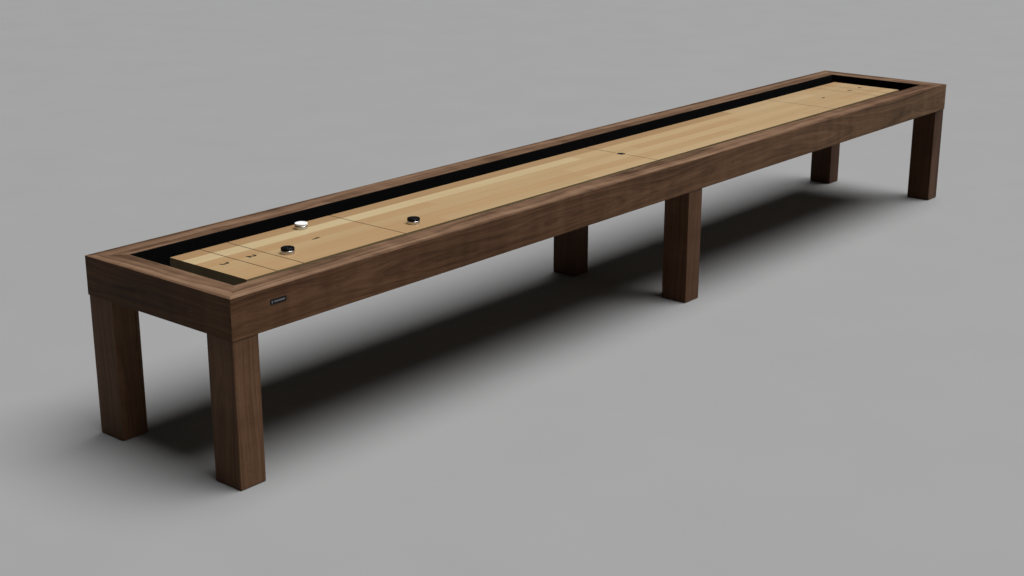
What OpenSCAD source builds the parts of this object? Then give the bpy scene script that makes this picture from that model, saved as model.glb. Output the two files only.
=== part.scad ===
// Long shuffleboard table: a mitred walnut cabinet on six square legs, a carpeted gutter all round a
// maple butcher-block playfield, its climate adjusters and levelling feet, and three playing weights.
// X runs along the table, Y across it and Z up. The origin is on the floor, under the table's middle.

/* [Table] */
// Outside length
table_l = 6494; // [6200:1:6800]
// Outside width
table_w = 960; // [920:1:1000]
// Height from the floor to the top rail
table_h = 822; // [780:1:860]

/* [Cabinet] */
// Height of the cabinet, from the bottom of the aprons to the top rail
cabinet_h = 177; // [165:1:190]
// Width of the flat top rail
rail_w = 131; // [120:1:140]
// Thickness of the top rail
rail_t = 26; // [22:1:30]
// Thickness of the outer aprons
apron_t = 38; // [34:1:44]
// Break on the long edges of the cabinet
edge_break = 2; // [1:0.5:3]
// Thickness of the floor boards
floor_t = 18; // [15:1:22]
// Width of the floor boards, from the aprons inwards
floor_w = 242; // [230:1:260]
// Thickness of the gutter wall boards under the rail
wall_t = 12; // [9:1:16]
// Thickness of the carpet on the gutter walls
wall_carpet_t = 3; // [2:0.5:4]
// Thickness of the carpet on the gutter floor
floor_carpet_t = 4; // [3:0.5:5]

/* [Legs] */
// Size of a leg along the table
leg_x = 133; // [125:1:140]
// Size of a leg across the table
leg_y = 162; // [150:1:170]
// Setback of the legs' outer faces behind the cabinet's faces
leg_inset = 3; // [2:0.5:5]
// Gap between the floor and a leg, left by the levelling foot
leg_gap = 4; // [3:0.5:6]
// Distance of the middle legs' centre from the table's middle
middle_leg_shift = 54; // [0:1:80]

/* [Playfield] */
// Gap between the cabinet's end and the playfield's end
playfield_end = 274; // [264:1:284]
// Gap between the cabinet's side and the playfield's side
playfield_side = 226; // [216:1:236]
// Depth of the playing surface under the top rail
playfield_drop = 28; // [26:1:34]
// Thickness of the butcher block
playfield_t = 76; // [70:1:76]
// Distance of the first scoring line from the playfield's end
score_line = 165; // [150:1:175]
// Distance from the first to the second scoring line
score_step = 152; // [140:1:160]
// Distance of the foul line from the playfield's end
foul_line = 943; // [920:1:980]
// Width of an inlaid court line
line_w = 6; // [3:0.5:8]
// Depth of the inlays
inlay_t = 0.8; // [0.5:0.1:1.5]
// Distances of the numerals 3, 2 and 1 from the playfield's end
numeral_places = [92, 244, 621];
// Height of a numeral
numeral_h = 46; // [40:1:60]
// Width of a numeral's stroke
numeral_t = 11; // [6:0.5:11]

/* [Playing weights] */
// Diameter of a weight
puck_d = 62; // [58:1:66]
// Height of the steel body
puck_body_h = 19; // [17:1:20]
// Height of a weight with its cap
puck_h = 27; // [25:1:27]
// Places of the white weight and the two black ones on the playfield, from the table's middle
puck_places = [[-2277, 179], [-2597, -86], [-1874, -157]];

/* [Hidden] */
$fn = 48;
rail_z = table_h - rail_t;
cabinet_z = table_h - cabinet_h;
floor_z = cabinet_z + floor_t;
carpet_z = floor_z + floor_carpet_t;
gutter_r = rail_w + wall_carpet_t;
playfield_z = table_h - playfield_drop;
block_z = playfield_z - playfield_t;
playfield_l = table_l - 2 * playfield_end;
playfield_w = table_w - 2 * playfield_side;
corner_reach = 250;

// Legs: X of each row's centre, and the side they stand on
leg_end_x = table_l / 2 - leg_inset - leg_x / 2;
leg_rows = [-leg_end_x, middle_leg_shift, leg_end_x];
leg_centre_y = table_w / 2 - leg_inset - leg_y / 2;
leg_edge = 2.5;
LEG_SPOTS = [for (x = leg_rows) for (side = [-1, 1]) [x, side]];

// Leg fixing: a steel plate let into the top of each leg, held by four bolts through the floor board
plate_size = 84;
plate_t = 4;
plate_from_side = 80;
bolt_pitch = 44;
bolt_r = 4;
bolt_hole_r = 4.2;
bolt_length = 60;
bolt_head_r = 7.5;
bolt_head_h = 5.5;

// Levelling feet
pad_r = 22;
pad_h = 8;
collar_r = 10;
collar_h = 6;
stem_r = 5;
stem_top = 90;
insert_r = 8;
insert_bore_r = 5.05;
insert_l = 25;
foot_well_r = 30;
foot_well_z = 18;
stem_well_r = 5.6;
stem_well_z = 122;

// Cradle under the playfield
bearer_x = 45;
bearer_y = 470;
bearer_pitch = 600;
bearer_count = 10;
// Distance of the first bearer's middle from the cabinet's end
end_bearer = (table_l - (bearer_count - 1) * bearer_pitch) / 2;

// Climate adjusters: a threaded rod across the underside of the block, between two lugs
adjuster_pitch = 1200;
adjuster_places = [for (i = [-2:2]) i * adjuster_pitch];
lug_y = 190;
lug_t = 8;
lug_x = 34;
lug_h = 38;
foot_plate_x = 70;
foot_plate_y = 46;
foot_plate_t = 4;
rod_r = 6;
rod_bore_r = 6.05;
rod_l = 420;
rod_z = block_z - foot_plate_t - 20;
rod_hex_r = 14;
rod_hex_l = 46;
screw_r = 2.5;
screw_l = 26;
screw_head_r = 5;
screw_head_h = 3;
screw_pitch = 48;

// The side gutters' floor carpet reaches a little way under the block
carpet_tuck = 10;

// Name plate on the front apron
badge_l = 88;
badge_h = 22;
badge_t = 2;
badge_corner = 5;
badge_x = 245 - table_l / 2;
badge_z = table_h - 63;
badge_inlay_t = 0.5;

// Playing weights
puck_bevel = 1.6;
puck_recess_r = 25;
puck_recess_h = 0.8;
puck_boss_r = 8;
puck_boss_h = 5;
cap_gap = 0.1;
cap_inset = 0.8;
cap_dish_r = 19;
cap_dish_h = 1.8;

walnut = "#5a4233";
maple = "#c9a877";
carpet = "#0c0c0d";
plywood = "#b39468";
steel = "#9aa0a6";
ink = "#1c1917";

// ---- Sides of the cabinet -------------------------------------------------------------------------

// Moves a shape built along X, with its outer face on Y = 0 and the table towards +Y, to one side
module on_side(side) {
    if (side == "front") translate([0, -table_w / 2, 0]) children();
    if (side == "back") translate([0, table_w / 2, 0]) rotate([0, 0, 180]) children();
    if (side == "left") translate([-table_l / 2, 0, 0]) rotate([0, 0, -90]) children();
    if (side == "right") translate([table_l / 2, 0, 0]) rotate([0, 0, 90]) children();
}

function side_length(side) = side == "front" || side == "back" ? table_l : table_w;

// A board of one cross-section along a side, mitred at both corners. The section's points are
// [distance inwards from the outer face, height]
module mitred_board(side, section) {
    run = side_length(side);
    on_side(side) intersection() {
        rotate([90, 0, 90]) translate([0, 0, -run / 2]) linear_extrude(run) polygon(section);
        linear_extrude(table_h + 1) polygon([
            [-run / 2, 0], [run / 2, 0],
            [run / 2 - corner_reach, corner_reach], [-run / 2 + corner_reach, corner_reach]
        ]);
    }
}

// Outer apron, joined to the rail by a long mitre that starts in the middle of the broken edge
module apron(side) {
    color(walnut) mitred_board(side, [
        [edge_break, cabinet_z], [apron_t, cabinet_z], [apron_t, rail_z], [rail_t, rail_z],
        [edge_break / 2, table_h - edge_break / 2], [0, table_h - edge_break],
        [0, cabinet_z + edge_break]
    ]);
}

module apron_front() {
    difference() {
        apron("front");
        badge_outline(badge_t + 1, -1);
    }
}

module rail(side) {
    color(walnut) mitred_board(side, [
        [edge_break, table_h], [edge_break / 2, table_h - edge_break / 2], [rail_t, rail_z],
        [rail_w, rail_z], [rail_w, table_h - edge_break / 2], [rail_w - edge_break / 2, table_h]
    ]);
}

module gutter_wall(side) {
    color(plywood) mitred_board(side, [
        [rail_w - wall_t, floor_z], [rail_w, floor_z], [rail_w, rail_z], [rail_w - wall_t, rail_z]
    ]);
}

// Carpet that lines the wall board and the inner edge of the rail
module wall_carpet(side) {
    top = table_h - edge_break;
    color(carpet) mitred_board(side, [
        [rail_w, carpet_z], [gutter_r, carpet_z], [gutter_r, top - 1], [gutter_r - 1, top],
        [rail_w, top]
    ]);
}

// Floor carpet: full length along the sides, and at the ends between them, up to the first bearer
module floor_carpet_long(sign) {
    width = playfield_side + carpet_tuck - rail_w;
    color(carpet) translate([0, sign * (table_w / 2 - rail_w - width / 2), floor_z + floor_carpet_t / 2])
        cube([table_l - 2 * rail_w, width, floor_carpet_t], center = true);
}

module floor_carpet_end(sign) {
    length = end_bearer - bearer_x / 2 - rail_w;
    width = table_w - 2 * (playfield_side + carpet_tuck);
    color(carpet) translate([sign * (table_l / 2 - rail_w - length / 2), 0, floor_z + floor_carpet_t / 2])
        cube([length, width, floor_carpet_t], center = true);
}

// ---- Floor and cradle -----------------------------------------------------------------------------

// The four bolts of one leg
module bolts_of(spot) {
    for (dx = [-1, 1], dy = [-1, 1])
        translate([
            spot[0] + dx * bolt_pitch / 2,
            spot[1] * (table_w / 2 - plate_from_side) + dy * bolt_pitch / 2, 0
        ]) children();
}

module bolt_spots() {
    for (spot = LEG_SPOTS) bolts_of(spot) children();
}

// The floor boards leave the middle open from below, so that the adjusters can be reached. Those along
// the sides run the full length between the end aprons
module floor_board_long(sign) {
    color(plywood) difference() {
        translate([0, sign * (table_w / 2 - apron_t - floor_w / 2), cabinet_z + floor_t / 2])
            cube([table_l - 2 * apron_t, floor_w, floor_t], center = true);
        bolt_spots() translate([0, 0, cabinet_z - 1]) cylinder(h = floor_t + 2, r = bolt_hole_r);
    }
}

// Those at the ends carry the first and the last bearer, so that nothing shows under the playfield
module floor_board_end(sign) {
    length = end_bearer - apron_t;
    color(plywood) translate([sign * (table_l / 2 - apron_t - length / 2), 0, cabinet_z + floor_t / 2])
        cube([length, table_w - 2 * (apron_t + floor_w), floor_t], center = true);
}

module cross_bearers() {
    first = -(bearer_count - 1) * bearer_pitch / 2;
    color(plywood) for (i = [0:bearer_count - 1])
        translate([first + i * bearer_pitch, 0, (floor_z + block_z) / 2])
            cube([bearer_x, bearer_y, block_z - floor_z], center = true);
}

// ---- Legs and feet --------------------------------------------------------------------------------

module leg_section() {
    x = leg_x / 2;
    y = leg_y / 2;
    polygon([
        [-x + leg_edge, -y], [x - leg_edge, -y], [x, -y + leg_edge], [x, y - leg_edge],
        [x - leg_edge, y], [-x + leg_edge, y], [-x, y - leg_edge], [-x, -y + leg_edge]
    ]);
}

module leg(spot) {
    hole_l = bolt_length + 5;
    color(walnut) difference() {
        translate([spot[0], spot[1] * leg_centre_y, leg_gap])
            linear_extrude(cabinet_z - leg_gap) leg_section();
        translate([spot[0], spot[1] * (table_w / 2 - plate_from_side), cabinet_z])
            cube([plate_size, plate_size, 2 * plate_t], center = true);
        bolts_of(spot) translate([0, 0, floor_z - hole_l]) cylinder(h = hole_l, r = bolt_hole_r);
        translate([spot[0], spot[1] * leg_centre_y, 0]) {
            cylinder(h = foot_well_z, r = foot_well_r);
            cylinder(h = foot_well_z + insert_l, r = insert_r);
            cylinder(h = stem_well_z, r = stem_well_r);
        }
    }
}

module leg_plates() {
    color(steel) for (spot = LEG_SPOTS) difference() {
        translate([spot[0], spot[1] * (table_w / 2 - plate_from_side), cabinet_z - plate_t / 2])
            cube([plate_size, plate_size, plate_t], center = true);
        bolt_spots() translate([0, 0, cabinet_z - plate_t - 1]) cylinder(h = plate_t + 2, r = bolt_hole_r);
    }
}

module leg_bolts() {
    color(steel) bolt_spots() {
        translate([0, 0, floor_z]) cylinder(h = bolt_head_h, r = bolt_head_r, $fn = 6);
        translate([0, 0, floor_z - bolt_length]) cylinder(h = bolt_length + 1, r = bolt_r);
    }
}

// Threaded sleeve in the bottom of each leg that the foot's stem screws into
module foot_inserts() {
    color(steel) for (spot = LEG_SPOTS)
        translate([spot[0], spot[1] * leg_centre_y, foot_well_z]) difference() {
            cylinder(h = insert_l, r = insert_r);
            translate([0, 0, -1]) cylinder(h = insert_l + 2, r = insert_bore_r);
        }
}

// A levelling foot in its highest position: pad, hexagon collar and stem
module levelling_foot(spot) {
    color(steel) translate([spot[0], spot[1] * leg_centre_y, 0]) {
        rotate_extrude() polygon([
            [0, 0], [pad_r - 1, 0], [pad_r, 1], [pad_r, pad_h - 4], [pad_r - 8, pad_h], [0, pad_h]
        ]);
        translate([0, 0, pad_h - 1]) cylinder(h = collar_h + 1, r = collar_r, $fn = 6);
        translate([0, 0, pad_h]) cylinder(h = stem_top - pad_h, r = stem_r);
    }
}

// ---- Playfield ------------------------------------------------------------------------------------

function line_places() = [
    for (end = [-1, 1]) for (d = [score_line, score_line + score_step, foul_line])
        end * (playfield_l / 2 - d)
];

module court_line_shapes() {
    for (x = concat(line_places(), [0])) translate([x, 0]) square([line_w, playfield_w], center = true);
}

// The middle line stops at both sides of the centre mark
module court_lines_2d() {
    difference() {
        court_line_shapes();
        square([10, 78], center = true);
    }
}

module ring_arc(radius, from, to) {
    steps = 8;
    reach = 2 * radius;
    intersection() {
        difference() {
            circle(r = radius);
            circle(r = radius - numeral_t);
        }
        polygon(concat([[0, 0]], [
            for (i = [0:steps]) let (a = from + (to - from) * i / steps) reach * [cos(a), sin(a)]
        ]));
    }
}

// A straight stroke from one point to another
module stroke(from, to) {
    run = to - from;
    translate(from) rotate(atan2(run[1], run[0])) translate([0, -numeral_t / 2])
        square([norm(run), numeral_t]);
}

module numeral_one() {
    translate([3, 0]) square([numeral_t, numeral_h], center = true);
    stroke([-9, numeral_h / 2 - 14], [3, numeral_h / 2 - numeral_t / 2]);
}

// The bowl's lower end lines up with the diagonal, and runs a little way into it
module numeral_two() {
    radius = numeral_h / 3;
    middle = radius - numeral_t / 2;
    centre = [0, numeral_h / 2 - radius];
    bend = -46;
    foot = [1 - middle, (numeral_t - numeral_h) / 2];
    translate(centre) ring_arc(radius, bend - 4, 175);
    stroke(foot, centre + middle * [cos(bend), sin(bend)]);
    translate([0, foot[1]]) square([2 * radius, numeral_t], center = true);
}

module numeral_three() {
    radius = (numeral_h + numeral_t) / 4;
    offset_y = radius - numeral_t / 2;
    translate([0, offset_y]) ring_arc(radius, -92, 150);
    translate([0, -offset_y]) ring_arc(radius, -150, 92);
}

// Numerals stand near the middle of their zones and read from the nearer end
module court_numerals_2d() {
    for (end = [-1, 1]) {
        translate([end * (playfield_l / 2 - numeral_places[0]), 0]) rotate(90 * end) numeral_three();
        translate([end * (playfield_l / 2 - numeral_places[1]), 0]) rotate(90 * end) numeral_two();
        translate([end * (playfield_l / 2 - numeral_places[2]), 0]) rotate(90 * end) numeral_one();
    }
}

// A plain hexagon in the middle of the table
module centre_mark_2d() {
    polygon([[0, -27], [21, -14], [21, 14], [0, 27], [-21, 14], [-21, -14]]);
}

module inlay(depth) {
    translate([0, 0, playfield_z - inlay_t]) linear_extrude(depth) children();
}

module screw_spots() {
    for (x = adjuster_places, side = [-1, 1], dx = [-1, 1])
        translate([x + dx * screw_pitch / 2, side * lug_y, 0]) children();
}

module playfield() {
    color(maple) difference() {
        translate([0, 0, (playfield_z + block_z) / 2])
            cube([playfield_l, playfield_w, playfield_t], center = true);
        inlay(inlay_t + 1) court_lines_2d();
        inlay(inlay_t + 1) court_numerals_2d();
        inlay(inlay_t + 1) centre_mark_2d();
        screw_spots() translate([0, 0, block_z - 1]) cylinder(h = screw_l - foot_plate_t + 1, r = screw_r);
    }
}

module court_lines() {
    color(ink) inlay(inlay_t) court_lines_2d();
}

module court_numerals() {
    color(ink) inlay(inlay_t) court_numerals_2d();
}

module centre_mark() {
    color(ink) inlay(inlay_t) centre_mark_2d();
}

// ---- Climate adjusters ----------------------------------------------------------------------------

module adjuster_lugs() {
    color(steel) for (x = adjuster_places, side = [-1, 1]) translate([x, side * lug_y, 0]) difference() {
        union() {
            translate([0, 0, block_z - foot_plate_t / 2])
                cube([foot_plate_x, foot_plate_y, foot_plate_t], center = true);
            translate([0, 0, block_z - foot_plate_t - lug_h / 2 + 1])
                cube([lug_x, lug_t, lug_h], center = true);
        }
        translate([0, 0, rod_z]) rotate([90, 0, 0]) cylinder(h = 2 * lug_t, r = rod_bore_r, center = true);
        for (dx = [-1, 1]) translate([dx * screw_pitch / 2, 0, block_z - foot_plate_t - 1])
            cylinder(h = foot_plate_t + 2, r = screw_r + 0.3);
    }
}

module adjuster_screws() {
    color(steel) screw_spots() {
        translate([0, 0, block_z - foot_plate_t - screw_head_h]) cylinder(h = screw_head_h, r = screw_head_r);
        translate([0, 0, block_z - foot_plate_t - 1]) cylinder(h = screw_l - 1, r = screw_r);
    }
}

// Threaded rod with a hexagon in its middle for the wrench
module adjuster_rod(x) {
    color(steel) translate([x, 0, rod_z]) rotate([90, 0, 0]) {
        cylinder(h = rod_l, r = rod_r, center = true);
        cylinder(h = rod_hex_l, r = rod_hex_r, center = true, $fn = 6);
    }
}

// ---- Name plate -----------------------------------------------------------------------------------

// The plate's outline with cut corners, sunk to a depth from the front face
module badge_outline(depth, start) {
    x = badge_l / 2;
    z = badge_h / 2;
    c = badge_corner;
    translate([badge_x, start - table_w / 2, badge_z]) rotate([-90, 0, 0]) linear_extrude(depth)
        polygon([
            [-x + c, -z], [x - c, -z], [x, -z + c], [x, z - c],
            [x - c, z], [-x + c, z], [-x, z - c], [-x, -z + c]
        ]);
}

// A plain lozenge and a plain bar: no lettering
module badge_inlay_2d() {
    translate([-badge_l / 2 + 11, 0]) polygon([[-4.5, 0], [0, -6.5], [4.5, 0], [0, 6.5]]);
    translate([6, 0]) square([58, 5], center = true);
}

module badge_inlay(depth, start) {
    translate([badge_x, start - table_w / 2, badge_z]) rotate([-90, 0, 0]) linear_extrude(depth)
        badge_inlay_2d();
}

module name_plate() {
    color(ink) difference() {
        badge_outline(badge_t, 0);
        badge_inlay(badge_inlay_t + 1, -1);
    }
}

module name_plate_inlay() {
    color(steel) badge_inlay(badge_inlay_t, 0);
}

// ---- Playing weights ------------------------------------------------------------------------------

module puck_weight(place) {
    r = puck_d / 2;
    b = puck_bevel;
    h = puck_body_h;
    color(steel) translate([place[0], place[1], playfield_z]) rotate_extrude() polygon([
        [0, puck_recess_h], [puck_recess_r - 1, puck_recess_h], [puck_recess_r, 0], [r - b, 0],
        [r, b], [r, h - b], [r - b, h], [puck_boss_r, h], [puck_boss_r, h + puck_boss_h],
        [0, h + puck_boss_h]
    ]);
}

module puck_cap(place, tint) {
    r = puck_d / 2 - cap_inset;
    b = 2 * puck_bevel;
    low = puck_body_h + cap_gap;
    dish = cap_dish_r;
    color(tint) translate([place[0], place[1], playfield_z]) rotate_extrude() polygon([
        [0, puck_h - cap_dish_h], [dish - 4, puck_h - cap_dish_h], [dish, puck_h], [r - b, puck_h],
        [r - b / 3, puck_h - b / 3], [r, puck_h - b], [r, low], [puck_boss_r + cap_gap, low],
        [puck_boss_r + cap_gap, low + puck_boss_h], [0, low + puck_boss_h]
    ]);
}

apron_front();
apron("back");  // apron_back
apron("left");  // apron_left
apron("right");  // apron_right
rail("front");  // rail_front
rail("back");  // rail_back
rail("left");  // rail_left
rail("right");  // rail_right
gutter_wall("front");  // gutter_wall_front
gutter_wall("back");  // gutter_wall_back
gutter_wall("left");  // gutter_wall_left
gutter_wall("right");  // gutter_wall_right
wall_carpet("front");  // wall_carpet_front
wall_carpet("back");  // wall_carpet_back
wall_carpet("left");  // wall_carpet_left
wall_carpet("right");  // wall_carpet_right
floor_carpet_long(-1);  // floor_carpet_front
floor_carpet_long(1);  // floor_carpet_back
floor_carpet_end(-1);  // floor_carpet_left
floor_carpet_end(1);  // floor_carpet_right
floor_board_long(-1);  // floor_board_front
floor_board_long(1);  // floor_board_back
floor_board_end(-1);  // floor_board_left
floor_board_end(1);  // floor_board_right
cross_bearers();
leg(LEG_SPOTS[0]);  // leg_front_left
leg(LEG_SPOTS[1]);  // leg_back_left
leg(LEG_SPOTS[2]);  // leg_front_middle
leg(LEG_SPOTS[3]);  // leg_back_middle
leg(LEG_SPOTS[4]);  // leg_front_right
leg(LEG_SPOTS[5]);  // leg_back_right
leg_plates();
leg_bolts();
foot_inserts();
levelling_foot(LEG_SPOTS[0]);  // levelling_foot_1
levelling_foot(LEG_SPOTS[1]);  // levelling_foot_2
levelling_foot(LEG_SPOTS[2]);  // levelling_foot_3
levelling_foot(LEG_SPOTS[3]);  // levelling_foot_4
levelling_foot(LEG_SPOTS[4]);  // levelling_foot_5
levelling_foot(LEG_SPOTS[5]);  // levelling_foot_6
playfield();
court_lines();
court_numerals();
centre_mark();
adjuster_lugs();
adjuster_screws();
adjuster_rod(adjuster_places[0]);  // adjuster_rod_1
adjuster_rod(adjuster_places[1]);  // adjuster_rod_2
adjuster_rod(adjuster_places[2]);  // adjuster_rod_3
adjuster_rod(adjuster_places[3]);  // adjuster_rod_4
adjuster_rod(adjuster_places[4]);  // adjuster_rod_5
name_plate();
name_plate_inlay();
puck_weight(puck_places[0]);  // white_puck_weight
puck_cap(puck_places[0], "white");  // white_puck_cap
puck_weight(puck_places[1]);  // black_puck_1_weight
puck_cap(puck_places[1], ink);  // black_puck_1_cap
puck_weight(puck_places[2]);  // black_puck_2_weight
puck_cap(puck_places[2], ink);  // black_puck_2_cap
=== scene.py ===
"""The looks of a long shuffleboard table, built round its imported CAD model."""

import math
import random

import bpy
from mathutils import Matrix, Vector


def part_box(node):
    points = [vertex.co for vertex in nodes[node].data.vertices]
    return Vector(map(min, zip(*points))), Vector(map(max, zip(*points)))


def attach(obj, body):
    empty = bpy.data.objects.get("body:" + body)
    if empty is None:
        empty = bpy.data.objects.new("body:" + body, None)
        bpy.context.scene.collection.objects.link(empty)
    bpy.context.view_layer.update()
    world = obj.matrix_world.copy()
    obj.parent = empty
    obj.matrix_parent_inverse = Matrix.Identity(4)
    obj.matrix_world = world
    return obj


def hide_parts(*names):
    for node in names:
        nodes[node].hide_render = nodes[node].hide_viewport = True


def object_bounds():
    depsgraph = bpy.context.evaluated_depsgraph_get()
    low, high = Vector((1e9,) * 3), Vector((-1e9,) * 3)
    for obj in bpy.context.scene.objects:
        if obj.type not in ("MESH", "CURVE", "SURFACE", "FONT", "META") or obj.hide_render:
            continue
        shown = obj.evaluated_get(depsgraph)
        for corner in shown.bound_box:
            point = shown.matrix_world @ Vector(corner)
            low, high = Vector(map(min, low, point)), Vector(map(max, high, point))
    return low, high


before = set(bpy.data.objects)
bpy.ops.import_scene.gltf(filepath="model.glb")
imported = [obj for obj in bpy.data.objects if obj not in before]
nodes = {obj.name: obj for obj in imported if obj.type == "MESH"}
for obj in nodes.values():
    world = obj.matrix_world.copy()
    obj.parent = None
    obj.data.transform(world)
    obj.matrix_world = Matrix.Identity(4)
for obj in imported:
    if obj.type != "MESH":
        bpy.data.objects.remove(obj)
cad_low, cad_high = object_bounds()

MM = 0.001
LENGTH, WIDTH, HEIGHT = cad_high - cad_low
SIDES = ("front", "back", "left", "right")
QUARTER = math.pi / 2

# Sizes of the cabinet, as the CAD model has them
RAIL_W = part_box("wall_carpet_front")[0].y - cad_low.y
APRON_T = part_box("floor_board_front")[0].y - cad_low.y
APRON_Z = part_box("apron_back")[0].z
RAIL_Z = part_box("rail_back")[0].z
EDGE = 2 * MM
INNER_EDGE = 1 * MM
BLOCK_LOW, BLOCK_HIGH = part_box("playfield")


# ---- Meshes ---------------------------------------------------------------------------------------

def piece(name, points, faces, material, body, stands_for, sharp=35):
    """A mesh object in the frame's own coordinates that rides on a body and stands for CAD nodes."""
    mesh = bpy.data.meshes.new(name)
    mesh.from_pydata([tuple(p) for p in points], [], faces)
    mesh.validate()
    for polygon in mesh.polygons:
        polygon.use_smooth = True
    mesh.set_sharp_from_angle(angle=math.radians(sharp))
    mesh.materials.append(material)
    made = bpy.data.objects.new(name, mesh)
    bpy.context.scene.collection.objects.link(made)
    weighted = made.modifiers.new("flat_faces_stay_flat", "WEIGHTED_NORMAL")
    weighted.keep_sharp = True
    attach(made, body)
    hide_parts(*stands_for)


def arc(centre, radius, start, end, steps=5):
    """Points of an arc in a plane, from one angle to another, in degrees."""
    angles = [math.radians(start + (end - start) * i / steps) for i in range(steps + 1)]
    return [(centre[0] + radius * math.cos(a), centre[1] + radius * math.sin(a)) for a in angles]


def side_matrix(side):
    """Takes a board built along X, outer face on Y = 0 and the table towards +Y, to its side."""
    turn = {"front": 0, "back": 2, "left": -1, "right": 1}[side] * QUARTER
    shift = {
        "front": Vector((0, -WIDTH / 2, 0)), "back": Vector((0, WIDTH / 2, 0)),
        "left": Vector((-LENGTH / 2, 0, 0)), "right": Vector((LENGTH / 2, 0, 0)),
    }[side]
    return Matrix.Translation(shift) @ Matrix.Rotation(turn, 4, "Z")


def mitred_board(name, side, section, material, stands_for):
    """A board of one cross-section, its points as (distance inwards, height), mitred at both ends."""
    run = LENGTH if side in ("front", "back") else WIDTH
    place = side_matrix(side)
    count = len(section)
    points = []
    for end in (-1, 1):
        points += [place @ Vector((end * (run / 2 - inwards), inwards, z)) for inwards, z in section]
    faces = [(i, (i + 1) % count, count + (i + 1) % count, count + i) for i in range(count)]
    faces += [tuple(reversed(range(count))), tuple(range(count, 2 * count))]
    piece(name, points, faces, material, "table", stands_for)


def turned(profile, steps=96):
    """A closed shape turned round Z, from (radius, height) points that start and end on the axis."""
    rings = profile[1:-1]
    points = [Vector((0, 0, profile[0][1]))]
    for radius, z in rings:
        turns = [2 * math.pi * i / steps for i in range(steps)]
        points += [Vector((radius * math.cos(a), radius * math.sin(a), z)) for a in turns]
    points.append(Vector((0, 0, profile[-1][1])))
    following = [(i, (i + 1) % steps) for i in range(steps)]
    faces = [(0, 1 + after, 1 + i) for i, after in following]
    for ring in range(len(rings) - 1):
        low = 1 + ring * steps
        high = low + steps
        faces += [(low + i, low + after, high + after, high + i) for i, after in following]
    last = 1 + (len(rings) - 1) * steps
    faces += [(last + i, last + after, len(points) - 1) for i, after in following]
    return points, faces


def hexagon_bar(radius, low, high, break_h):
    """A hexagonal bar along Z with turned-off corners, as rings of a coarse turned shape."""
    flat = radius - break_h
    return turned([(0, low), (flat, low), (radius, low + break_h), (radius, high - break_h),
                   (flat, high), (0, high)], 6)


def together(parts):
    """Several closed shapes as one mesh's points and faces."""
    points, faces = [], []
    for more_points, more_faces in parts:
        faces += [tuple(len(points) + i for i in face) for face in more_faces]
        points += more_points
    return points, faces


def placed(shape, place):
    points, faces = shape
    return [place @ Vector(p) for p in points], faces


def thread(radius, low, high, pitch, depth):
    """The (radius, height) points of a screw's thread, crests and roots in turn."""
    turns = round((high - low) / pitch)
    step = (high - low) / turns
    points = []
    for i in range(turns):
        points += [(radius - depth, low + i * step), (radius, low + (i + 0.5) * step)]
    return points + [(radius - depth, high)]


def plate(outline, back, front, break_w):
    """A flat shape standing in the front apron, its (x, z) outline drawn in at the front edge."""
    count = len(outline)
    middle_x = sum(x for x, _ in outline) / count
    middle_z = sum(z for _, z in outline) / count
    points = [Vector((x, back, z)) for x, z in outline]
    points += [Vector((x, front + break_w, z)) for x, z in outline]
    for x, z in outline:
        inward = Vector((middle_x - x, 0, middle_z - z)).normalized()
        points.append(Vector((x, front, z)) + break_w * inward)
    faces = []
    for low in (0, count):
        faces += [(low + i, low + count + i, low + count + (i + 1) % count, low + (i + 1) % count)
                  for i in range(count)]
    faces += [tuple(range(count)), tuple(reversed(range(2 * count, 3 * count)))]
    return points, faces


# ---- Materials ------------------------------------------------------------------------------------

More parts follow.
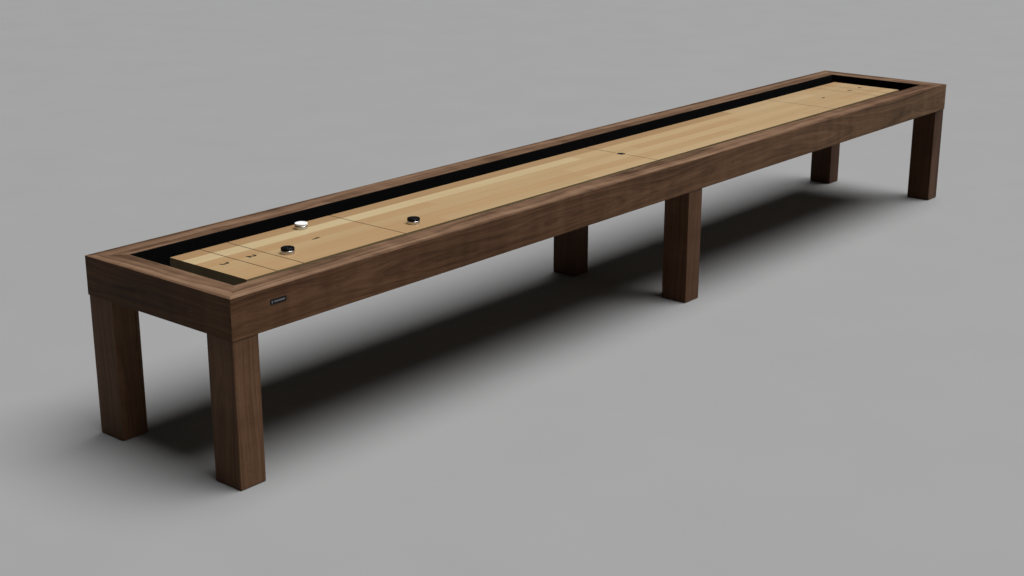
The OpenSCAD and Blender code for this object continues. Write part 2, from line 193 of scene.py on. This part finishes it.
class Surface:
    """A procedural material in the making. Each method adds one node and returns its output."""

    def __init__(self, name):
        self.material = bpy.data.materials.new(name)
        self.material.use_nodes = True
        self.tree = self.material.node_tree
        self.tree.nodes.clear()
        self.shader = self.tree.nodes.new("ShaderNodeBsdfPrincipled")
        output = self.tree.nodes.new("ShaderNodeOutputMaterial")
        self.tree.links.new(self.shader.outputs[0], output.inputs[0])
        self.place = self.tree.nodes.new("ShaderNodeTexCoord").outputs["Object"]

    def add(self, kind, inputs, output=0, **settings):
        node = self.tree.nodes.new("ShaderNode" + kind)
        for name, setting in settings.items():
            setattr(node, name, setting)
        for key, source in inputs.items():
            self.feed(node.inputs[key], source)
        return node.outputs[output]

    def feed(self, socket, source):
        if isinstance(source, bpy.types.NodeSocket):
            self.tree.links.new(source, socket)
        else:
            socket.default_value = source

    def math(self, operation, a, b=0.0, clamp=False):
        return self.add("Math", {0: a, 1: b}, operation=operation, use_clamp=clamp)

    def vector(self, operation, a, b=(0, 0, 0), output=0):
        return self.add("VectorMath", {0: a, 1: b}, output=output, operation=operation)

    def split(self, vector):
        node = self.tree.nodes.new("ShaderNodeSeparateXYZ")
        self.feed(node.inputs[0], vector)
        return list(node.outputs)

    def noise(self, vector, scale=1.0, detail=3.0, roughness=0.5, output=0):
        inputs = {"Vector": vector, "Scale": scale, "Detail": detail, "Roughness": roughness}
        return self.add("TexNoise", inputs, output=output)

    def bands(self, distance, scale, detail=2.0):
        inputs = {"W": distance, "Scale": scale, "Detail": detail}
        return self.add("TexNoise", inputs, noise_dimensions="1D")

    def stretched(self, vector, scale, offset=(0, 0, 0)):
        return self.add("Mapping", {"Vector": vector, "Scale": scale, "Location": offset})

    def spread(self, value, low, high, to_low=0.0, to_high=1.0):
        inputs = {"Value": value, "From Min": low, "From Max": high, "To Min": to_low, "To Max": to_high}
        return self.add("MapRange", inputs)

    def ramp(self, share, stops, constant=False):
        node = self.tree.nodes.new("ShaderNodeValToRGB")
        node.color_ramp.interpolation = "CONSTANT" if constant else "LINEAR"
        marks = node.color_ramp.elements
        while len(marks) < len(stops):
            marks.new(0.5)
        for mark, (position, colour) in zip(marks, sorted(stops)):
            mark.position = position
            mark.color = (*colour, 1)
        self.feed(node.inputs[0], share)
        return node.outputs[0]

    def mix(self, share, first, second, how="MIX"):
        sources = [(*c, 1) if isinstance(c, tuple) else c for c in (first, second)]
        inputs = {0: share, 6: sources[0], 7: sources[1]}
        return self.add("Mix", inputs, output=2, data_type="RGBA", blend_type=how)

    def bump(self, height, strength, distance):
        inputs = {"Height": height, "Strength": strength, "Distance": distance}
        self.feed(self.shader.inputs["Normal"], self.add("Bump", inputs))

    def finish(self, **values):
        """Sets the shader's own sockets; a name's underscores stand for spaces."""
        for name, source in values.items():
            self.feed(self.shader.inputs[name.replace("_", " ")], source)
        return self.material


MIDDLE_GREY = (0.5, 0.5, 0.5)

# Turns a board's grain, which runs along X in the texture, to run along another axis
GRAIN_TURN = {"x": (0, 0, 0), "y": (0, 0, QUARTER), "z": (0, -QUARTER, 0)}
WALNUT_DARK = (0.029, 0.0150, 0.0078)
WALNUT_MIDDLE = (0.093, 0.053, 0.031)
WALNUT_LIGHT = (0.152, 0.093, 0.057)
# Tints that the late wood of a ring, and the pores, are multiplied by
LATE_WOOD = (0.32, 0.27, 0.24)
PORE = (0.25, 0.2, 0.18)
RIPPLE = 12 * MM
FIGURE_CONTRAST = 0.28
PAINTED_LIGHT_CURVE = 2.2


def walnut(name, grain, pith, seed, tint_and_painted_shade, sway=0.13, ring=8.5 * MM, contrast=1.0, painted_light_and_shade=None):
    """Plain-sawn walnut as a solid texture: growth rings round a pith that runs along the grain.

    The sway is how far the rings wander, and the ring is their width. The contrast is that between the
    wood's dark and light streaks. The painted light and shade is a pair of tints that paint light and
    shade along the table: the colour goes from the first tint to the second.
    """
    draws = random.Random(seed)
    offset = [draws.uniform(-20, 20) for _ in range(3)]
    s = Surface(name)
    board = s.add("Mapping", {"Vector": s.place, "Location": pith, "Rotation": GRAIN_TURN[grain]},
                  vector_type="TEXTURE")
    wander = s.noise(s.stretched(board, (0.5, 2.0, 2.0), offset), detail=2.0, output=1)
    wander = s.vector("MULTIPLY", s.vector("SUBTRACT", wander, MIDDLE_GREY), (0, sway, sway))
    ripple = s.noise(s.stretched(board, (3.0, 14.0, 14.0), offset), detail=2.0, output=1)
    ripple = s.vector("MULTIPLY", s.vector("SUBTRACT", ripple, MIDDLE_GREY), (0, RIPPLE, RIPPLE))
    bent = s.vector("ADD", s.vector("ADD", board, wander), ripple)
    across = s.vector("MULTIPLY", bent, (0, 1, 1))
    radius = s.vector("LENGTH", across, output=1)
    rings = s.bands(radius, 0.55 / ring, 3.0)
    late = s.math("POWER", s.math("FRACT", s.math("DIVIDE", radius, ring)), 3.0)
    tone = s.noise(s.stretched(bent, (0.9, 3.5, 3.5), offset), detail=2.0)
    mottle = s.noise(s.stretched(bent, (9.0, 2.0, 2.0), offset), detail=2.0)
    streaks = s.noise(s.stretched(bent, (2.2, 55.0, 55.0), offset), detail=3.0, roughness=0.6)
    fibres = s.noise(s.stretched(bent, (9.0, 700.0, 700.0), offset), detail=2.0)
    pores = s.noise(s.stretched(bent, (55.0, 1500.0, 1500.0), offset), detail=0.0)
    pores = s.spread(pores, 0.66, 0.74)

    shade = None
    for pattern, share in ((rings, 0.29), (tone, 0.20), (mottle, 0.15), (streaks, 0.22), (fibres, 0.14)):
        part = s.math("MULTIPLY", s.spread(pattern, 0.27, 0.73), share)
        shade = part if shade is None else s.math("ADD", shade, part)
    reach = FIGURE_CONTRAST / contrast
    stops = [(0.5 - reach, WALNUT_DARK), (0.5, WALNUT_MIDDLE), (0.5 + reach, WALNUT_LIGHT)]
    # The tint is the wood's own tone on the rails and the long aprons, and painted shade and light on the
    # end aprons and the legs
    colour = s.ramp(shade, [(mark, tuple(c * t for c, t in zip(wood, tint_and_painted_shade))) for mark, wood in stops])
    # Painted light and shade: the colour is painted from one tint to the other along the table
    if painted_light_and_shade:
        along = s.spread(s.split(s.place)[0], -LENGTH / 2, LENGTH / 2)
        colour = s.mix(1.0, colour, s.mix(s.math("POWER", along, PAINTED_LIGHT_CURVE), *painted_light_and_shade), "MULTIPLY")
    colour = s.mix(s.math("MULTIPLY", late, 0.36 * contrast), colour, LATE_WOOD, "MULTIPLY")
    colour = s.mix(s.math("MULTIPLY", pores, 0.5), colour, PORE, "MULTIPLY")
    relief = s.math("SUBTRACT", s.math("MULTIPLY", fibres, 0.4), pores)
    s.bump(relief, 0.25, 0.4 * MM)
    roughness = s.spread(streaks, 0.2, 0.8, 0.36, 0.50)
    return s.finish(Base_Color=colour, Roughness=roughness, Specular_IOR_Level=0.06)


LANES = 6
MAPLE_TAN = (0.254, 0.168, 0.082)
MAPLE_GOLD = (0.264, 0.187, 0.096)
MAPLE_ROSE = (0.216, 0.136, 0.064)
MAPLE_CREAM = (0.311, 0.248, 0.142)
MAPLE_PALE = (0.284, 0.205, 0.109)
# The boards of each lane, from the front lane to the back one: where each starts along the table, as
# a share of the playfield's length, and its tone
LANE_BOARDS = [
    [(0.0, MAPLE_TAN), (0.21, MAPLE_GOLD), (0.40, MAPLE_PALE), (0.79, MAPLE_GOLD)],
    [(0.0, MAPLE_TAN), (0.36, MAPLE_TAN), (0.66, MAPLE_GOLD), (0.90, MAPLE_TAN)],
    [(0.0, MAPLE_GOLD), (0.28, MAPLE_GOLD), (0.41, MAPLE_PALE), (0.83, MAPLE_GOLD)],
    [(0.0, MAPLE_TAN), (0.24, MAPLE_GOLD), (0.53, MAPLE_TAN), (0.72, MAPLE_GOLD)],
    [(0.0, MAPLE_CREAM), (0.455, MAPLE_PALE), (0.70, MAPLE_PALE), (0.90, MAPLE_GOLD)],
    [(0.0, MAPLE_ROSE), (0.37, MAPLE_ROSE), (0.745, MAPLE_GOLD), (0.92, MAPLE_TAN)],
]
# Colours of the block's painted shade on its long sides and painted light on its ends
PAINTED_SHADE_SIDE = ((0.205, 0.148, 0.078), (0.155, 0.108, 0.054))
PAINTED_LIGHT_END = ((0.60, 0.46, 0.27), (0.48, 0.36, 0.20))
GLUE_LINE = (0.42, 0.32, 0.24)
# How far the grain pattern is shifted from one lane to the next, so that the lanes don't continue
LANE_SHIFT = 0.37


def maple(name):
    """Butcher block: lanes of boards glued side by side, under a clear poured finish."""
    s = Surface(name)
    x, y, z = s.split(s.place)
    along = s.spread(x, BLOCK_LOW.x, BLOCK_HIGH.x)
    lane = s.spread(y, BLOCK_LOW.y, BLOCK_HIGH.y, 0.0, LANES)
    colour = None
    for i, boards in enumerate(LANE_BOARDS):
        tones = s.ramp(along, boards, constant=True)
        colour = tones if colour is None else s.mix(s.math("GREATER_THAN", lane, i), colour, tones)
    shift = s.math("MULTIPLY", s.math("FLOOR", lane), LANE_SHIFT)
    shifted = s.add("CombineXYZ", {0: x, 1: y, 2: s.math("ADD", z, shift)})
    broad = s.noise(s.stretched(shifted, (0.9, 14.0, 14.0)), detail=2.0)
    streaks = s.noise(s.stretched(shifted, (1.3, 95.0, 30.0)), detail=3.0, roughness=0.6)
    fibres = s.noise(s.stretched(shifted, (7.0, 900.0, 900.0)), detail=2.0)
    flecks = s.noise(s.stretched(shifted, (26.0, 520.0, 520.0)), detail=1.0)
    colour = s.mix(s.spread(broad, 0.35, 0.72, 0.0, 0.6), colour, (0.90, 0.82, 0.76), "MULTIPLY")
    colour = s.mix(s.spread(streaks, 0.42, 0.72, 0.0, 0.5), colour, (0.88, 0.80, 0.72), "MULTIPLY")
    colour = s.mix(s.spread(fibres, 0.3, 0.75, 0.0, 0.16), colour, (0.70, 0.58, 0.48), "MULTIPLY")
    colour = s.mix(s.spread(flecks, 0.66, 0.76, 0.0, 0.20), colour, (0.6, 0.47, 0.36), "MULTIPLY")
    # A dark hair of glue between the lanes
    seam = s.math("ABSOLUTE", s.math("SUBTRACT", s.math("FRACT", lane), 0.5))
    seam = s.spread(seam, 0.4955, 0.4985, 0.0, 0.35)
    colour = s.mix(seam, colour, GLUE_LINE, "MULTIPLY")
    # Painted shade on the long sides and the underside, which are painted darker than the top, and painted
    # light on the ends, which are painted paler than the top
    facing = s.split(s.add("NewGeometry", {}, output=1))
    painted_shade_sides = s.ramp(streaks, list(zip((0.3, 0.7), PAINTED_SHADE_SIDE)))
    painted_light_ends = s.ramp(broad, list(zip((0.3, 0.7), PAINTED_LIGHT_END)))
    colour = s.mix(s.math("LESS_THAN", facing[2], 0.5), colour, painted_shade_sides)
    colour = s.mix(s.math("GREATER_THAN", s.math("ABSOLUTE", facing[0]), 0.7), colour, painted_light_ends)
    s.bump(fibres, 0.04, 0.2 * MM)
    roughness = s.spread(streaks, 0.3, 0.7, 0.42, 0.52)
    return s.finish(Base_Color=colour, Roughness=roughness, Specular_IOR_Level=0.35)


def carpet(name):
    """Short black carpet: uneven tufts in patches of random tone, the lighter tufts a painted sheen at their
    tips.
    """
    s = Surface(name)
    tufts = s.noise(s.place, scale=520.0, detail=2.0)
    patches = s.noise(s.place, scale=11.0, detail=3.0)
    # Partly random tone and partly painted sheen: the lighter tufts stand for light caught at their tips
    colour = s.ramp(s.math("ADD", s.math("MULTIPLY", tufts, 0.7), s.math("MULTIPLY", patches, 0.3)),
                    [(0.35, (0.0010, 0.0010, 0.0011)), (0.7, (0.0035, 0.0035, 0.0037))])
    s.bump(tufts, 0.9, 1.2 * MM)
    return s.finish(Base_Color=colour, Roughness=0.95, Specular_IOR_Level=0.05)


PLIES_PER_METRE = 350.0


def plywood(name):
    """Birch plywood: a pale veneer, with the plies showing on the edges."""
    s = Surface(name)
    z = s.split(s.place)[2]
    veneer = s.noise(s.stretched(s.place, (2.0, 34.0, 34.0)), detail=4.0, roughness=0.6)
    fibres = s.noise(s.stretched(s.place, (14.0, 600.0, 600.0)), detail=2.0)
    colour = s.ramp(veneer, [(0.3, (0.36, 0.24, 0.13)), (0.7, (0.56, 0.42, 0.26))])
    colour = s.mix(s.spread(fibres, 0.35, 0.7, 0.0, 0.3), colour, (0.6, 0.5, 0.4), "MULTIPLY")
    ply = s.math("GREATER_THAN", s.math("FRACT", s.math("MULTIPLY", z, PLIES_PER_METRE)), 0.5)
    up = s.math("ABSOLUTE", s.split(s.add("NewGeometry", {}, output=1))[2])
    edge = s.math("MULTIPLY", ply, s.math("LESS_THAN", up, 0.5))
    colour = s.mix(s.math("MULTIPLY", edge, 0.6), colour, (0.45, 0.33, 0.24), "MULTIPLY")
    s.bump(fibres, 0.2, 0.3 * MM)
    return s.finish(Base_Color=colour, Roughness=s.spread(veneer, 0.2, 0.8, 0.6, 0.8))


def metal(name, light, dark, rough_low, rough_high):
    """Metal with a fine uneven surface."""
    s = Surface(name)
    cloud = s.noise(s.place, scale=260.0, detail=3.0, roughness=0.6)
    smudge = s.noise(s.place, scale=24.0, detail=3.0)
    colour = s.ramp(smudge, [(0.3, dark), (0.7, light)])
    s.bump(cloud, 0.05, 0.2 * MM)
    roughness = s.spread(cloud, 0.3, 0.7, rough_low, rough_high)
    return s.finish(Base_Color=colour, Metallic=1.0, Roughness=roughness)


def gloss(name, light, dark, rough_low, rough_high, shine=0.5):
    """Moulded plastic or enamel, with faint handling marks in its gloss."""
    s = Surface(name)
    cloud = s.noise(s.place, scale=60.0, detail=4.0, roughness=0.65)
    scratches = s.noise(s.stretched(s.place, (900.0, 60.0, 60.0)), detail=1.0)
    colour = s.ramp(cloud, [(0.3, dark), (0.7, light)])
    s.bump(scratches, 0.03, 0.1 * MM)
    roughness = s.spread(cloud, 0.3, 0.7, rough_low, rough_high)
    return s.finish(Base_Color=colour, Roughness=roughness, Specular_IOR_Level=shine)


def ink(name, dark, worn):
    """Screened ink, worn thin in places by the weights that slide over it."""
    s = Surface(name)
    wear = s.noise(s.stretched(s.place, (60.0, 60.0, 60.0)), detail=3.0, roughness=0.65)
    colour = s.ramp(wear, [(0.40, dark), (0.80, worn)])
    roughness = s.spread(wear, 0.3, 0.7, 0.42, 0.52)
    return s.finish(Base_Color=colour, Roughness=roughness, Specular_IOR_Level=0.12)


def cover(names, material):
    """Gives CAD nodes a material in place of the one they were packed with."""
    for name in names:
        mesh = nodes[name].data
        mesh.materials.clear()
        mesh.materials.append(material)


def soften(name, width):
    """Rounds the sharp edges of a CAD node a little, once its faces are joined along them."""
    modifiers = nodes[name].modifiers
    modifiers.new("faces_joined", "WELD").merge_threshold = 0.01 * MM
    soft_edges = modifiers.new("soft_edges", "BEVEL")
    soft_edges.width = width
    soft_edges.segments = 2
    soft_edges.limit_method = "ANGLE"
    modifiers.new("flat_faces_stay_flat", "WEIGHTED_NORMAL")


# ---- Cabinet --------------------------------------------------------------------------------------

def corner(share):
    """Where the rounded edge's arc ends, in degrees: the rail and the apron share it at the middle."""
    return 180 - 90 * share


APRON_SECTION = (
    [(APRON_T, RAIL_Z), (APRON_T, APRON_Z)]
    + arc((EDGE, APRON_Z + EDGE), EDGE, 270, 180)
    + arc((EDGE, HEIGHT - EDGE), EDGE, 180, corner(0.5))
    + [(HEIGHT - RAIL_Z, RAIL_Z)]
)
RAIL_SECTION = (
    [(HEIGHT - RAIL_Z, RAIL_Z)]
    + arc((EDGE, HEIGHT - EDGE), EDGE, corner(0.5), corner(1))
    + arc((RAIL_W - INNER_EDGE, HEIGHT - INNER_EDGE), INNER_EDGE, 90, 0)
    + [(RAIL_W, RAIL_Z)]
)

# The pith lies behind each board's face, so that the face shows flowing arches
OUTWARD = {"front": (0, -1), "back": (0, 1), "left": (-1, 0), "right": (1, 0)}


def face_point(side, inwards, z):
    x, y = OUTWARD[side]
    return (x * (LENGTH / 2 - inwards), y * (WIDTH / 2 - inwards), z)


# The end aprons' tint is painted shade: they are painted darker than the front and back aprons
LONG_TINT = (0.99, 0.92, 0.85)
SHORT_PAINTED_SHADE = (0.84, 0.70, 0.56)
LEG_CONTRAST = 0.62
# Painted light and shade on the legs: the near row is painted paler and the far rows darker
LEG_PAINTED_LIGHT_AND_SHADE = {"left": (1.20, 1.12, 1.05), "middle": (0.90, 0.78, 0.74), "right": (0.68, 0.59, 0.56)}
RAIL_TINT = (1.05, 1.06, 1.08)
APRON_TINTS_AND_PAINTED_SHADE = {"front": LONG_TINT, "back": LONG_TINT, "left": SHORT_PAINTED_SHADE, "right": SHORT_PAINTED_SHADE}
# Painted light and shade along the front boards: the apron is painted paler to the right, the rail darker
APRON_PAINTED_LIGHT_AND_SHADE = {"front": ((0.86, 0.80, 0.76), (1.42, 1.50, 1.40))}
RAIL_PAINTED_LIGHT_AND_SHADE = {"front": ((1.10, 1.11, 1.12), (0.87, 0.82, 0.80))}
# Distance of a board's pith behind the cabinet's face, and its height
APRON_PITH = (0.15, APRON_Z + 0.07)
RAIL_PITH = (0.10, HEIGHT - 0.20)
LEG_PITH_R = 0.11
LEG_PITH_TURN = 2.1
for index, side in enumerate(SIDES):
    grain = "x" if side in ("front", "back") else "y"
    apron_pith = face_point(side, *APRON_PITH)
    apron_wood = walnut("walnut_apron_" + side, grain, apron_pith, 11 + index, APRON_TINTS_AND_PAINTED_SHADE[side],
                        painted_light_and_shade=APRON_PAINTED_LIGHT_AND_SHADE.get(side))
    rail_pith = face_point(side, *RAIL_PITH)
    rail_wood = walnut("walnut_rail_" + side, grain, rail_pith, 31 + index, RAIL_TINT, sway=0.05,
                       painted_light_and_shade=RAIL_PAINTED_LIGHT_AND_SHADE.get(side))
    mitred_board("apron_board_" + side, side, APRON_SECTION, apron_wood, ["apron_" + side])
    mitred_board("rail_board_" + side, side, RAIL_SECTION, rail_wood, ["rail_" + side])

LEGS = [(side, row) for row in LEG_PAINTED_LIGHT_AND_SHADE for side in ("front", "back")]
for index, (side, row) in enumerate(LEGS):
    name = f"leg_{side}_{row}"
    low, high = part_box(name)
    middle = (low + high) / 2
    turn = LEG_PITH_TURN * index
    pith = (middle.x + LEG_PITH_R * math.cos(turn), middle.y + LEG_PITH_R * math.sin(turn), 0.3)
    cover([name], walnut("walnut_" + name, "z", pith, 51 + index, LEG_PAINTED_LIGHT_AND_SHADE[row],
                         contrast=LEG_CONTRAST))
    soften(name, 0.8 * MM)

cover(["wall_carpet_" + side for side in SIDES], carpet("carpet_wall"))
cover(["floor_carpet_" + side for side in SIDES], carpet("carpet_floor"))
cover(["gutter_wall_" + side for side in SIDES] + ["floor_board_" + side for side in SIDES]
      + ["cross_bearers"], plywood("plywood"))
cover(["playfield"], maple("maple_block"))
cover(["court_lines"], ink("line_ink", (0.020, 0.014, 0.008), (0.060, 0.042, 0.024)))
cover(["court_numerals"], ink("numeral_ink", (0.010, 0.009, 0.007), (0.030, 0.024, 0.016)))
cover(["centre_mark"], ink("mark_ink", (0.004, 0.004, 0.004), (0.012, 0.011, 0.010)))

steel = metal("zinc_steel", (0.55, 0.56, 0.57), (0.40, 0.41, 0.42), 0.28, 0.42)
cover(["leg_plates", "leg_bolts", "foot_inserts", "adjuster_lugs", "adjuster_screws"], steel)
for name in ("leg_plates", "leg_bolts", "adjuster_lugs", "adjuster_screws"):
    soften(name, 0.6 * MM)


# ---- Levelling feet and adjusters -----------------------------------------------------------------

def scaled(profile):
    """A turned shape's (radius, height) points from millimetres to metres."""
    return [(r * MM, z * MM) for r, z in profile]


SHARP_STEEL = 28
FOOT_COUNT = 6
PAD_PROFILE = [
    (0, 0), (20.5, 0), (21.5, 0.4), (22, 1.4), (22, 3.4), (21.4, 4.4), (19.5, 5.2), (15.5, 7.0),
    (13.5, 7.8), (12.5, 8), (0, 8),
]
PAD_TOP = 8 * MM
COLLAR_R = 10 * MM
COLLAR_TOP = 14 * MM
STEM_R = 5 * MM
STEM_PITCH = 1.5 * MM
STEM_THREAD = 0.7 * MM
STEM_TIP_R = 3.4 * MM


def foot_shape(height):
    """A turned pad with a rounded shoulder, a hexagonal collar and a threaded stem."""
    stem = [(0, PAD_TOP)] + thread(STEM_R, COLLAR_TOP, height - STEM_PITCH, STEM_PITCH, STEM_THREAD)
    stem += [(STEM_TIP_R, height), (0, height)]
    collar = hexagon_bar(COLLAR_R, PAD_TOP - 0.1 * MM, COLLAR_TOP, 0.7 * MM)
    return together([turned(scaled(PAD_PROFILE), 64), collar, turned(stem, 32)])


for number in range(1, FOOT_COUNT + 1):
    name = f"levelling_foot_{number}"
    low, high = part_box(name)
    spot = Matrix.Translation(((low.x + high.x) / 2, (low.y + high.y) / 2, low.z))
    points, faces = placed(foot_shape(high.z - low.z), spot)
    piece(f"turned_foot_{number}", points, faces, steel, name, [name], sharp=SHARP_STEEL)


ROD_COUNT = 5
ROD_R = 6 * MM
ROD_TIP_R = 4.6 * MM
ROD_TIP = 1 * MM
ROD_PITCH = 2 * MM
ROD_THREAD = 0.9 * MM
# Distance from the rod's middle to where each thread starts
ROD_PLAIN = 140 * MM
ROD_HEX_R = 14 * MM
ROD_HEX_HALF = 23 * MM


def rod_shape(length):
    """A rod with a hexagon in the middle for a spanner, and a thread at both ends."""
    half = length / 2
    thread_points = thread(ROD_R, ROD_PLAIN, half - ROD_TIP, ROD_PITCH, ROD_THREAD)
    points = [(0, -half), (ROD_TIP_R, -half)]
    points += [(r, -z) for r, z in reversed(thread_points)]
    points += [(ROD_R, ROD_TIP - ROD_PLAIN), (ROD_R, ROD_PLAIN - ROD_TIP)]
    points += thread_points + [(ROD_TIP_R, half), (0, half)]
    return together([turned(points, 32), hexagon_bar(ROD_HEX_R, -ROD_HEX_HALF, ROD_HEX_HALF, 1.2 * MM)])


for number in range(1, ROD_COUNT + 1):
    name = f"adjuster_rod_{number}"
    low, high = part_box(name)
    along_y = Matrix.Translation((low + high) / 2) @ Matrix.Rotation(QUARTER, 4, "X")
    points, faces = placed(rod_shape(high.y - low.y), along_y)
    piece(f"threaded_rod_{number}", points, faces, steel, name, [name], sharp=SHARP_STEEL)


# ---- Name plate: a plain lozenge and a plain bar, with no lettering ---------------------------------

plate_low, plate_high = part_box("name_plate")
PLATE_X = (plate_low.x + plate_high.x) / 2
PLATE_Z = (plate_low.z + plate_high.z) / 2
PLATE_L = plate_high.x - plate_low.x
PLATE_H = plate_high.z - plate_low.z
APRON_FACE = cad_low.y
# How far the plate, and the marks on it, stand out from the apron
PLATE_PROUD = 1.0 * MM
MARK_PROUD = 1.4 * MM
LOZENGE_X = PLATE_X - PLATE_L / 2 + 11.5 * MM
LOZENGE_HALF = (5 * MM, 7 * MM)
BAR_X = PLATE_X + 6 * MM
BAR_SIZE = (57 * MM, 6.5 * MM)


def rounded_outline(centre, size, radius, steps=5):
    """A rectangle with round corners, seen from the front, anticlockwise."""
    (x, z), (across, up) = centre, (size[0] / 2 - radius, size[1] / 2 - radius)
    corners = ((across, up), (-across, up), (-across, -up), (across, -up))
    outline = []
    for index, (dx, dz) in enumerate(corners):
        outline += arc((x + dx, z + dz), radius, 90 * index, 90 * index + 90, steps)
    return outline


plate_outline = rounded_outline((PLATE_X, PLATE_Z), (PLATE_L, PLATE_H), 5 * MM)
points, faces = plate(plate_outline, plate_high.y, APRON_FACE - PLATE_PROUD, 0.6 * MM)
enamel = gloss("plate_enamel", (0.008, 0.008, 0.009), (0.005, 0.005, 0.006), 0.30, 0.40, 0.16)
piece("enamel_plate", points, faces, enamel, "table", ["name_plate"])

lozenge = [(LOZENGE_X + LOZENGE_HALF[0], PLATE_Z), (LOZENGE_X, PLATE_Z + LOZENGE_HALF[1]),
           (LOZENGE_X - LOZENGE_HALF[0], PLATE_Z), (LOZENGE_X, PLATE_Z - LOZENGE_HALF[1])]
bar = rounded_outline((BAR_X, PLATE_Z), BAR_SIZE, 2 * MM)
points, faces = together([
    plate(outline, APRON_FACE - PLATE_PROUD / 2, APRON_FACE - MARK_PROUD, 0.3 * MM)
    for outline in (lozenge, bar)
])
bright = metal("plate_metal", (0.25, 0.27, 0.275), (0.19, 0.205, 0.21), 0.35, 0.5)
piece("bright_relief", points, faces, bright, "table", ["name_plate_inlay"])


# ---- Playing weights ------------------------------------------------------------------------------

# The (radius, height) points of both turned shapes, in millimetres from the playing surface
WEIGHT_PROFILE = (
    [(0, 0.8), (24, 0.8), (25, 0), (29.4, 0)]
    + [(29.4 + 1.6 * math.sin(math.radians(a)), 1.6 - 1.6 * math.cos(math.radians(a))) for a in (22, 45, 68)]
    + [(31, 1.6), (31, 11.6)]
    + arc((26, 11.6), 5, 8, 72, 8)
    + [(26.6, 16.7), (26.6, 19), (8, 19), (8, 24), (0, 24)]
)
CAP_PROFILE = (
    [(0, 24.1), (8.1, 24.1), (8.1, 19.1), (27.4, 19.1), (27.6, 16.9), (29.4, 16.8), (30.3, 17.2)]
    + [(30.6, 18.2), (30.6, 23.8)]
    + arc((27.4, 23.8), 3.2, 12, 90, 6)
    + [(19.6, 26.8), (18.6, 26.5), (17.2, 25.6), (15.6, 25.2), (3.4, 25.2)]
    + arc((0, 25.2), 3.2, 20, 70, 2)
    + [(0, 26.2)]
)


chrome = metal("puck_chrome", (0.62, 0.62, 0.64), (0.50, 0.50, 0.52), 0.22, 0.30)
white_cap = gloss("cap_white", (0.60, 0.60, 0.59), (0.56, 0.56, 0.55), 0.26, 0.34)
black_cap = gloss("cap_black", (0.004, 0.004, 0.0045), (0.002, 0.002, 0.0025), 0.16, 0.24, 0.08)
for body, cap, cap_slot in (
    ("white_puck", white_cap, "white_cap"),
    ("black_puck_1", black_cap, "black_cap"),
    ("black_puck_2", black_cap, "black_cap"),
):
    low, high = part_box(body + "_weight")
    spot = Matrix.Translation(((low.x + high.x) / 2, (low.y + high.y) / 2, low.z))
    points, faces = placed(turned(scaled(WEIGHT_PROFILE)), spot)
    piece(body + "_steel", points, faces, chrome, body, [body + "_weight"])
    points, faces = placed(turned(scaled(CAP_PROFILE)), spot)
    piece(body + "_top", points, faces, cap, body, [body + "_cap"])


# ---- Stage, light and camera ----------------------------------------------------------------------

FLOOR_REACH = 80
FLOOR_TONES = (0.172, 0.178)
WORLD_COLOUR = (0.034, 0.034, 0.036, 1)
KEY_POWER = 6.8
KEY_WIDTH = math.radians(50)
KEY_DIRECTION = (-0.27, 0.23, -1)
CAMERA_LENS = 52.3
CAMERA_HEADING = math.radians(40.05)
CAMERA_DOWN = math.radians(17.42)
# From the corner of the CAD box that is nearest to the camera, at floor level
CAMERA_OFFSET = (-3.518, -4.394, 2.601)

scene = bpy.context.scene
scene.view_settings.view_transform = "Standard"


def floor_material():
    s = Surface("studio_floor")
    cloud = s.noise(s.place, scale=1.5, detail=3.0)
    colour = s.ramp(cloud, [(mark, (tone,) * 3) for mark, tone in zip((0.3, 0.7), FLOOR_TONES)])
    return s.finish(Base_Color=colour, Roughness=0.75, Specular_IOR_Level=0.2)


floor_mesh = bpy.data.meshes.new("studio_floor")
floor_corners = [(x * FLOOR_REACH, y * FLOOR_REACH, 0) for x, y in ((-1, -1), (1, -1), (1, 1), (-1, 1))]
floor_mesh.from_pydata(floor_corners, [], [(0, 1, 2, 3)])
floor_mesh.materials.append(floor_material())
studio_floor = bpy.data.objects.new("studio_floor", floor_mesh)
scene.collection.objects.link(studio_floor)

world = bpy.data.worlds.new("studio")
world.use_nodes = True
world.node_tree.nodes["Background"].inputs[0].default_value = WORLD_COLOUR
scene.world = world


def softbox(name, place, aim, size, power):
    light = bpy.data.lights.new(name, "AREA")
    light.shape = "RECTANGLE"
    light.size, light.size_y = size
    light.energy = power
    made = bpy.data.objects.new(name, light)
    made.location = place
    made.rotation_euler = (Vector(aim) - Vector(place)).to_track_quat("-Z", "Y").to_euler()
    scene.collection.objects.link(made)


softbox("side_fill", (0.5, -10.0, 3.2), (0, 0, 0.6), (5.0, 3.0), 36)

# The wide soft key light comes from above, a little from the front and the right
key = bpy.data.lights.new("key", "SUN")
key.energy = KEY_POWER
key.angle = KEY_WIDTH
key_light = bpy.data.objects.new("key", key)
key_light.rotation_euler = Vector(KEY_DIRECTION).to_track_quat("-Z", "Y").to_euler()
scene.collection.objects.link(key_light)

camera_data = bpy.data.cameras.new("camera")
camera_data.lens = CAMERA_LENS
camera_data.sensor_width = 36
camera = bpy.data.objects.new("camera", camera_data)
camera.location = Vector((cad_low.x, cad_low.y, 0)) + Vector(CAMERA_OFFSET)
looking = Vector((math.cos(CAMERA_DOWN) * math.cos(CAMERA_HEADING),
                  math.cos(CAMERA_DOWN) * math.sin(CAMERA_HEADING), -math.sin(CAMERA_DOWN)))
camera.rotation_euler = looking.to_track_quat("-Z", "Y").to_euler()
scene.collection.objects.link(camera)
scene.camera = camera
